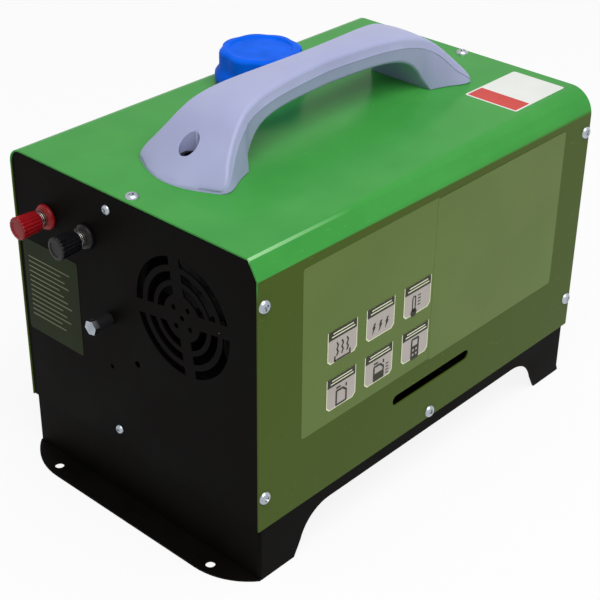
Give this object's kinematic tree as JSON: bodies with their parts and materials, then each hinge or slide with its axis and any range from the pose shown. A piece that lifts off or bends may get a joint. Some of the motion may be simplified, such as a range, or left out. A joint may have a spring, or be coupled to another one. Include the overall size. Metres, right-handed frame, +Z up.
{
  "type": "portable diesel air heater",
  "caption": "Portable diesel air heater in a sheet-metal case with a bolted carry handle, screw fuel cap, air-intake grille, warm-air outlet and battery posts.",
  "frame": {"origin": "on the ground at the middle of the footprint", "axes": "+X along the case from the intake grille end to the warm-air outlet end, +Y from the heater side to the tank side, +Z up"},
  "size_m": [0.4184, 0.2454, 0.3031],
  "materials": {
    "green_powder_coat": "glossy powder coat on sheet steel",
    "black_powder_coat": "satin powder coat on sheet steel",
    "zinc_steel": "bright zinc plate",
    "grey_plastic": "satin moulded plastic",
    "blue_plastic": "moulded plastic",
    "black_plastic": "moulded plastic",
    "red_plastic": "moulded plastic",
    "natural_plastic": "unpigmented polyethylene",
    "button_plastic": "satin moulded plastic",
    "rubber": "matt",
    "aluminium": "die cast",
    "stainless": "rolled tube",
    "label_film": "printed vinyl film",
    "label_print": "printed ink",
    "display_glass": "clear window over a dark display"
  },
  "bodies": {
    "case": {"base_tray": "black_powder_coat", "hood": "green_powder_coat", "rear_panel": "black_powder_coat", "front_panel": "black_powder_coat", "partition_plate": "zinc_steel", "handle": "grey_plastic", "handle_bolt_rear": "zinc_steel", "handle_bolt_front": "zinc_steel", "screw_near_rear_upper": "zinc_steel", "screw_far_rear_upper": "zinc_steel", "screw_near_rear_lower": "zinc_steel", "screw_far_rear_lower": "zinc_steel", "screw_near_middle": "zinc_steel", "screw_far_middle": "zinc_steel", "screw_near_front_lower": "zinc_steel", "screw_far_front_lower": "zinc_steel", "screw_near_front_upper": "zinc_steel", "screw_far_front_upper": "zinc_steel", "screw_top_rear": "zinc_steel", "screw_top_front": "zinc_steel", "screw_rear_panel_upper": "zinc_steel", "screw_rear_panel_lower": "zinc_steel", "screw_front_panel_upper": "zinc_steel", "screw_front_panel_lower": "zinc_steel", "fuel_tank": "natural_plastic", "filler_grommet": "rubber", "fuel_pump": "aluminium", "suction_line": "natural_plastic", "delivery_line": "natural_plastic", "red_post_base": "red_plastic", "red_post_stud": "zinc_steel", "black_post_base": "black_plastic", "black_post_stud": "zinc_steel", "standoff_spacer": "black_plastic", "standoff_bolt": "zinc_steel", "shell_lower": "black_plastic", "shell_upper": "black_plastic", "heat_exchanger": "aluminium", "burner_tube": "stainless", "blower_motor": "aluminium", "control_unit": "black_plastic", "heater_bracket": "zinc_steel", "exhaust_pipe": "stainless", "intake_pipe": "rubber", "power_supply": "aluminium", "outlet_collar": "black_powder_coat", "control_panel": "black_plastic", "mains_inlet": "black_plastic"},
    "cap_seal": {"cap_gasket": "rubber"},
    "cap": {"fuel_cap": "blue_plastic"},
    "red_clamp": {"red_post_washer": "zinc_steel"},
    "red_knob": {"red_post_knob": "red_plastic"},
    "black_clamp": {"black_post_washer": "zinc_steel"},
    "black_knob": {"black_post_knob": "black_plastic"},
    "blower_rotor": {"rotor_shaft": "stainless", "fan_wheel": "black_plastic"},
    "rocker": {"rocker_switch": "black_plastic"},
    "down_key": {"button_down": "button_plastic"},
    "power_key": {"button_power": "button_plastic"},
    "up_key": {"button_up": "button_plastic"}
  },
  "joints": [
    {"name": "cap_turn", "type": "hinge", "parent": "cap_seal", "child": "cap", "pos_m": [0.0216, 0.075, 0.268], "axis": [0, 0, 1], "range_deg": [0, 540]},
    {"name": "cap_lift", "type": "slide", "parent": "case", "child": "cap_seal", "axis": [0, 0, 1], "range_m": [0, 0.009]},
    {"name": "red_knob_turn", "type": "hinge", "parent": "red_clamp", "child": "red_knob", "pos_m": [-0.2, 0.0846, 0.2104], "axis": [-1, 0, 0], "range_deg": [0, 1800]},
    {"name": "red_clamp_slide", "type": "slide", "parent": "case", "child": "red_clamp", "axis": [-1, 0, 0], "range_m": [0, 0.005]},
    {"name": "black_knob_turn", "type": "hinge", "parent": "black_clamp", "child": "black_knob", "pos_m": [-0.2, 0.0432, 0.2104], "axis": [-1, 0, 0], "range_deg": [0, 1800]},
    {"name": "black_clamp_slide", "type": "slide", "parent": "case", "child": "black_clamp", "axis": [-1, 0, 0], "range_m": [0, 0.005]},
    {"name": "fan_spin", "type": "hinge", "parent": "case", "child": "blower_rotor", "pos_m": [-0.15, -0.0504, 0.1845], "axis": [1, 0, 0], "continuous": true},
    {"name": "rocker_tip", "type": "hinge", "parent": "case", "child": "rocker", "pos_m": [0.1832, 0.045, 0.096], "axis": [0, -1, 0], "range_deg": [0, 12]},
    {"name": "down_press", "type": "slide", "parent": "case", "child": "down_key", "axis": [-1, 0, 0], "range_m": [0, 0.001], "stiffness_N_per_m": 400},
    {"name": "power_press", "type": "slide", "parent": "case", "child": "power_key", "axis": [-1, 0, 0], "range_m": [0, 0.001], "stiffness_N_per_m": 400},
    {"name": "up_press", "type": "slide", "parent": "case", "child": "up_key", "axis": [-1, 0, 0], "range_m": [0, 0.001], "stiffness_N_per_m": 400}
  ],
  "couplings": [
    {"joint": "cap_lift", "follows": "cap_turn", "m_per_rad": 0.00095492},
    {"joint": "red_clamp_slide", "follows": "red_knob_turn", "m_per_rad": 0.00015915},
    {"joint": "black_clamp_slide", "follows": "black_knob_turn", "m_per_rad": 0.00015915}
  ]
}
